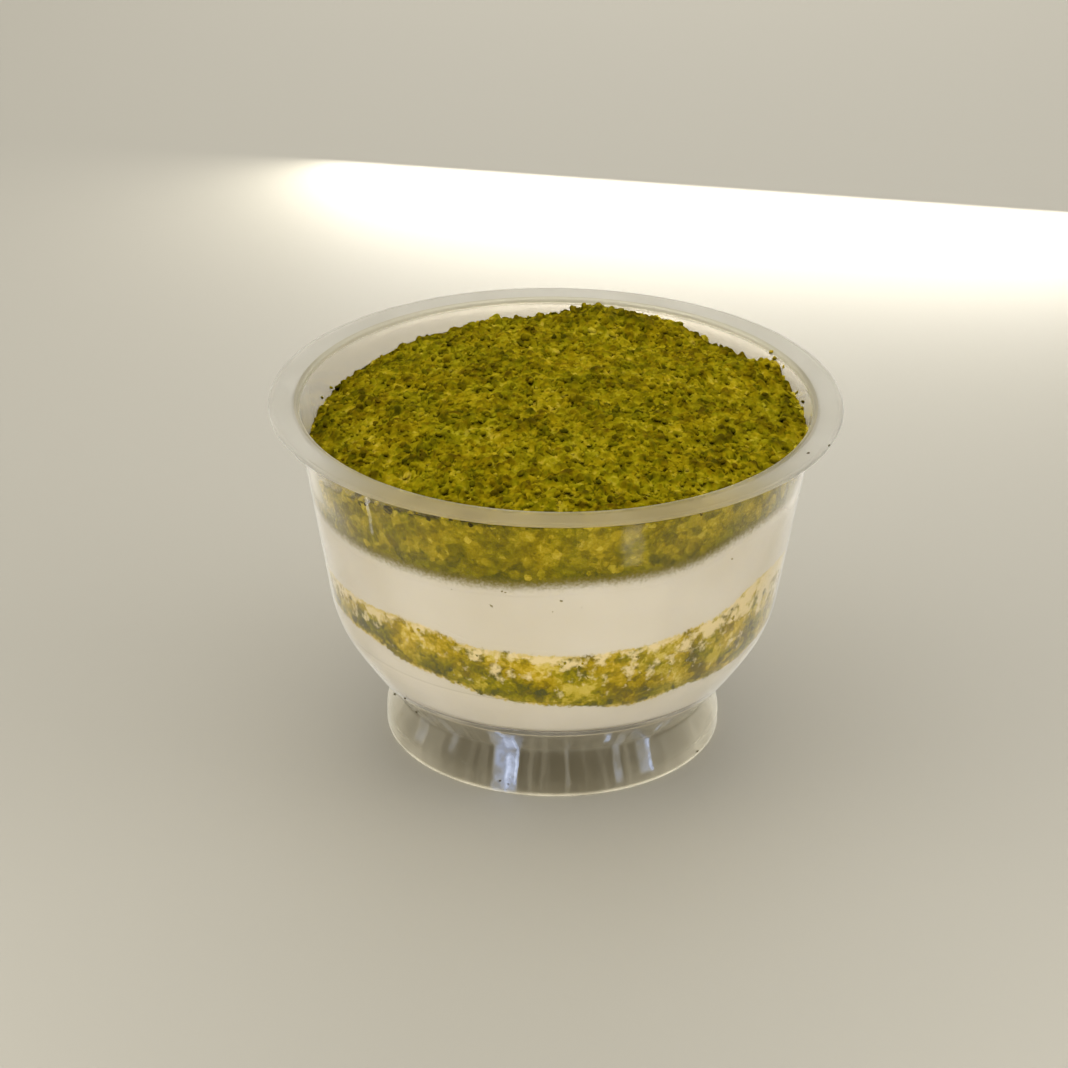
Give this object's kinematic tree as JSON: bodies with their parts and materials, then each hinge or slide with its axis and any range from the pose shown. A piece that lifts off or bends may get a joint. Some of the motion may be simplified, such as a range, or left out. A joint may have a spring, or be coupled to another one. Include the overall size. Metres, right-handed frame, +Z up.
{
  "type": "banana pudding cup",
  "caption": "Clear footed dessert cup with layers of pale cream and yellow-green cake crumbs, heaped with loose crumbs up to its flat rim.",
  "frame": {"origin": "middle of the ring that the foot stands on, at the surface below it", "axes": "+Z up through the cup's mouth; -Y towards the side that is looked at; +X to its right"},
  "size_m": [0.095, 0.095, 0.0626],
  "materials": {
    "clear_plastic": "clear, glossy, slightly hazy",
    "cream": "smooth, moist, warm ivory",
    "wet_crumbs": "moist crumbs, olive and mustard, with cream between them",
    "dry_crumbs": "dry crumbs, mustard yellow to olive green"
  },
  "bodies": {
    "root": {"cup": "clear_plastic", "lower_cream": "cream", "lower_crumbs": "wet_crumbs", "upper_cream": "cream", "crumb_topping": "dry_crumbs"}
  },
  "joints": []
}
